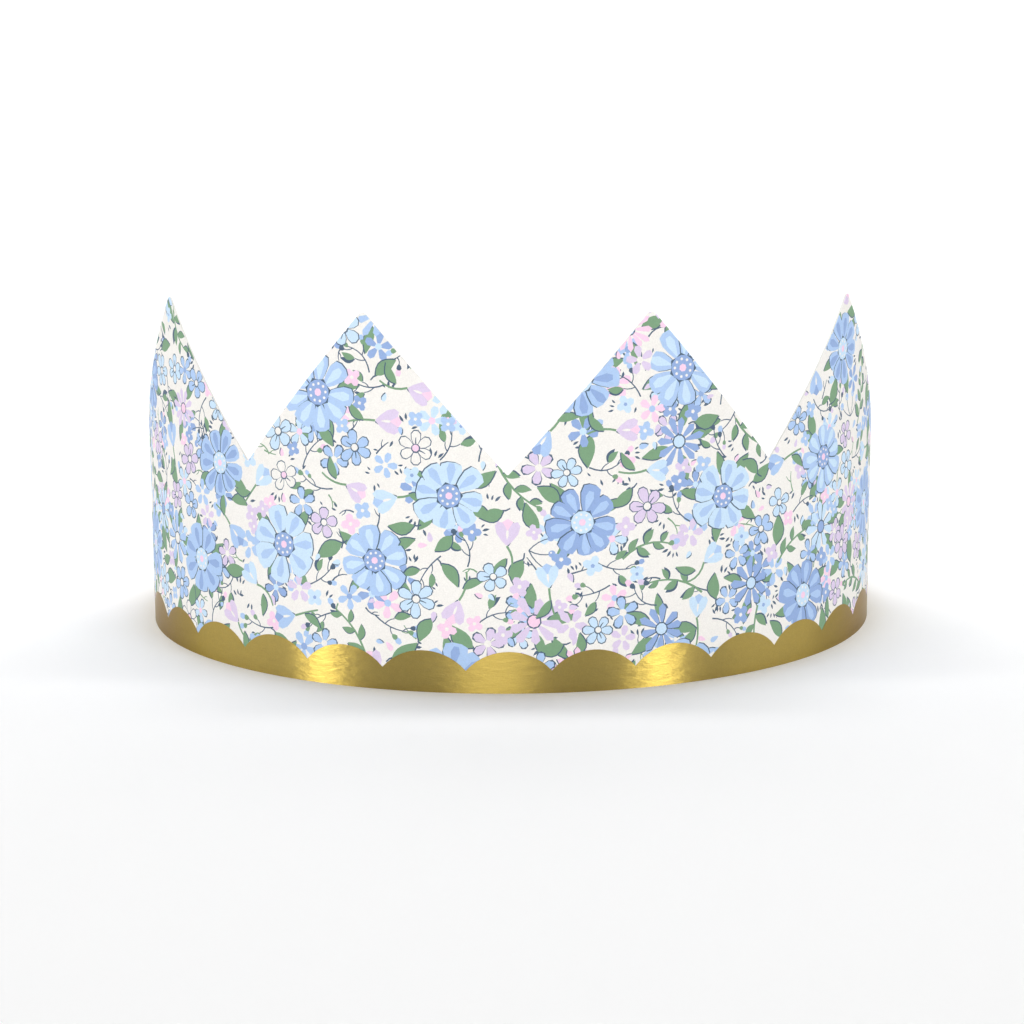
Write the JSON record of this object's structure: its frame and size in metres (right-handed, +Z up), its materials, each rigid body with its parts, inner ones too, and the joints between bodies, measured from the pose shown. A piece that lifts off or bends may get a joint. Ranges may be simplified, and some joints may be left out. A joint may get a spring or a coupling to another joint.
{
  "type": "party crown",
  "caption": "Ring-shaped party crown of printed card with pointed peaks at the front, a low back band closed by a tongue in a slit, and a scalloped gold foil border.",
  "frame": {"origin": "centre of the ring on the plane of the bottom edge", "axes": "+Z up along the ring's axis, the peaks' middle faces -Y, +X to the wearer's left"},
  "size_m": [0.1802, 0.1802, 0.0829],
  "materials": {
    "card": "matt uncoated card with a small all-over floral print outside, plain white inside",
    "gold_foil": "hot-stamped mirror gold foil"
  },
  "bodies": {
    "root": {"crown_band": "card", "foil_border": "gold_foil"}
  },
  "joints": []
}
